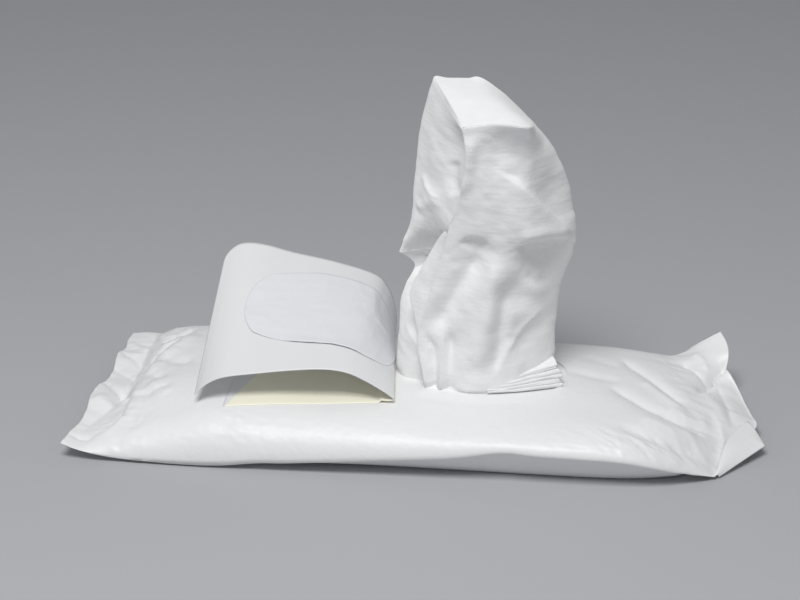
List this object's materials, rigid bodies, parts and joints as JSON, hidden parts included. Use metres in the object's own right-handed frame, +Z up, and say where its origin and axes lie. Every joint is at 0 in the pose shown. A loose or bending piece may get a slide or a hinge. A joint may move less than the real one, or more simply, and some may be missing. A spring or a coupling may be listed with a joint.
{
  "type": "wet wipes pack",
  "caption": "Flow-wrapped film pouch of wet wipes, lying flat, its resealable label peeled back and one wipe pulled up through the slot-shaped mouth.",
  "frame": {"origin": "middle of the underside, on the surface that the pack lies on", "axes": "+X along the pack from the folded-back label to the far end seal, +Y away from the user, +Z up through the mouth"},
  "size_m": [0.24, 0.097, 0.1277],
  "materials": {
    "pouch_film": "white polyethylene film, soft gloss",
    "label_film": "white label film, satin, with a pale yellow printed field",
    "flap_film": "white polyethylene film, soft gloss",
    "wipe_nonwoven": "damp white spunlace nonwoven, matt"
  },
  "bodies": {
    "root": {"film_pouch": "pouch_film", "wipe_stack": "wipe_nonwoven", "resealable_label": "label_film", "film_flap": "flap_film", "pulled_wipe": "wipe_nonwoven", "next_wipe": "wipe_nonwoven"}
  },
  "joints": []
}
